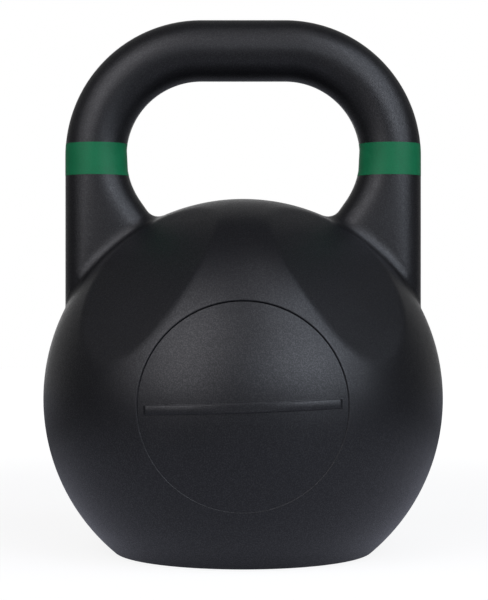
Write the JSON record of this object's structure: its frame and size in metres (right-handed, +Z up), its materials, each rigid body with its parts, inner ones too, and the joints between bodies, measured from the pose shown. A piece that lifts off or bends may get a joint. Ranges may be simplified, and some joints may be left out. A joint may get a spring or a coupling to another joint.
{
  "type": "competition kettlebell",
  "caption": "Competition kettlebell: hollow steel ball with four arched shoulder cuts and a flat base, bent bar handle with flared feet, colour bands and a base plug.",
  "frame": {"origin": "middle of the flat base, on the surface that the bell stands on", "axes": "+Z up through the handle; X along the handle's bar; front with the round recess faces -Y"},
  "size_m": [0.228, 0.2285, 0.304],
  "materials": {
    "ball_coat": "black powder coat with a fine sandy grain, satin",
    "handle_coat": "black powder coat with a fine sandy grain, satin",
    "band_paint": "green paint over the powder coat, satin",
    "iron_shot": "iron shot set in resin, matt",
    "plug_plating": "black zinc plate, satin",
    "washer_rubber": "moulded black rubber, matt"
  },
  "bodies": {
    "root": {"ball_shell": "ball_coat", "handle": "handle_coat", "left_colour_band": "band_paint", "right_colour_band": "band_paint", "ballast": "iron_shot", "base_plug": "plug_plating", "plug_washer": "washer_rubber"}
  },
  "joints": []
}
